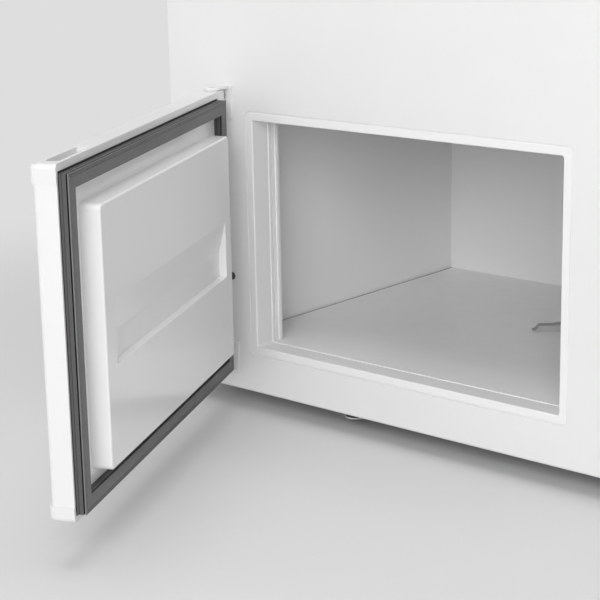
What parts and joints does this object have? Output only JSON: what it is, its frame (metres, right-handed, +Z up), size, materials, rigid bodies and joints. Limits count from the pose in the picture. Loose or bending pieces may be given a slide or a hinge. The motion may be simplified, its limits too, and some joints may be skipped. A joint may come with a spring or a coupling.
{
  "type": "mini fridge",
  "caption": "Low, wide mini fridge with a small left-hinged door set into a flush white front, compressor niche and condenser at the rear.",
  "frame": {"origin": "on the floor under the middle of the cabinet's width and depth", "axes": "-Y is the front, +X is the user's right, +Z is up; the door stands open at rest"},
  "size_m": [0.626, 1.0408, 0.476],
  "materials": {
    "white_steel": "white baked paint, satin",
    "gloss_white": "moulded white plastic, slightly glossy",
    "white_plastic": "vacuum-formed white plastic",
    "black_plastic": "moulded black plastic",
    "grey_plastic": "plain grey plastic tube",
    "galvanised": "galvanised sheet",
    "zinc": "zinc-plated steel",
    "black_steel": "black painted steel",
    "copper": "drawn copper",
    "aluminium": "plain aluminium",
    "foam": "foamed insulation",
    "dark_rubber": "dark rubber",
    "grey_rubber": "mid grey rubber",
    "gasket_rubber": "dark grey soft rubber",
    "magnet": "flexible magnet strip"
  },
  "bodies": {
    "cabinet": {"cabinet_wrap": "white_steel", "front_panel": "white_steel", "front_hole_plug": "black_plastic", "back_panel": "galvanised", "base_pan": "galvanised", "niche_shell": "galvanised", "compressor_tray": "galvanised", "inner_liner": "white_plastic", "opening_frame": "gloss_white", "cabinet_foam": "foam", "drain_tube": "grey_plastic", "drain_outlet": "black_plastic", "drain_outlet_ring": "gloss_white", "foot_nuts": "zinc", "rear_feet": "dark_rubber", "upper_hinge_bracket": "white_steel", "lower_hinge_bracket": "white_steel", "hinge_pins": "zinc", "hinge_backing_plates": "zinc", "hinge_screws": "zinc", "compressor": "black_steel", "compressor_grommets": "dark_rubber", "compressor_bolts": "zinc", "relay_cover": "black_plastic", "suction_line": "copper", "discharge_line": "copper", "condenser_tube": "black_steel", "condenser_wires": "black_steel", "condenser_brackets": "black_plastic", "filter_drier": "copper", "capillary_tube": "copper", "evaporator_plate": "aluminium", "evaporator_spacers": "white_plastic", "thermostat_housing": "white_plastic", "thermostat_body": "galvanised", "power_inlet": "black_plastic", "inlet_bracket": "galvanised", "supply_lead": "black_plastic"},
    "door": {"door_skin": "white_steel", "door_top_cap": "gloss_white", "door_bottom_cap": "gloss_white", "door_foam": "foam", "door_liner": "white_plastic", "door_gasket": "gasket_rubber", "magnet_strips": "magnet", "hinge_bushes": "gloss_white"},
    "knob": {"thermostat_knob": "gloss_white", "thermostat_spindle": "zinc"},
    "drain_plug": {"drain_plug": "grey_rubber"},
    "left_foot": {"left_foot_pad": "black_plastic", "left_foot_stud": "zinc"},
    "right_foot": {"right_foot_pad": "black_plastic", "right_foot_stud": "zinc"}
  },
  "joints": [
    {"name": "door_hinge", "type": "hinge", "parent": "cabinet", "child": "door", "pos_m": [-0.22905, -0.3194, 0.2], "axis": [0, 0, -1], "range_deg": [-63.3, 51.7]},
    {"name": "thermostat_turn", "type": "hinge", "parent": "cabinet", "child": "knob", "pos_m": [0.2106, -0.128, 0.3153], "axis": [-1, 0, 0], "range_deg": [0, 270]},
    {"name": "drain_plug_lift", "type": "slide", "parent": "cabinet", "child": "drain_plug", "axis": [0, 0, 1], "range_m": [0, 0.03]},
    {"name": "left_foot_screw", "type": "slide", "parent": "cabinet", "child": "left_foot", "axis": [0, 0, -1], "range_m": [0, 0.008]},
    {"name": "right_foot_screw", "type": "slide", "parent": "cabinet", "child": "right_foot", "axis": [0, 0, -1], "range_m": [0, 0.008]}
  ]
}
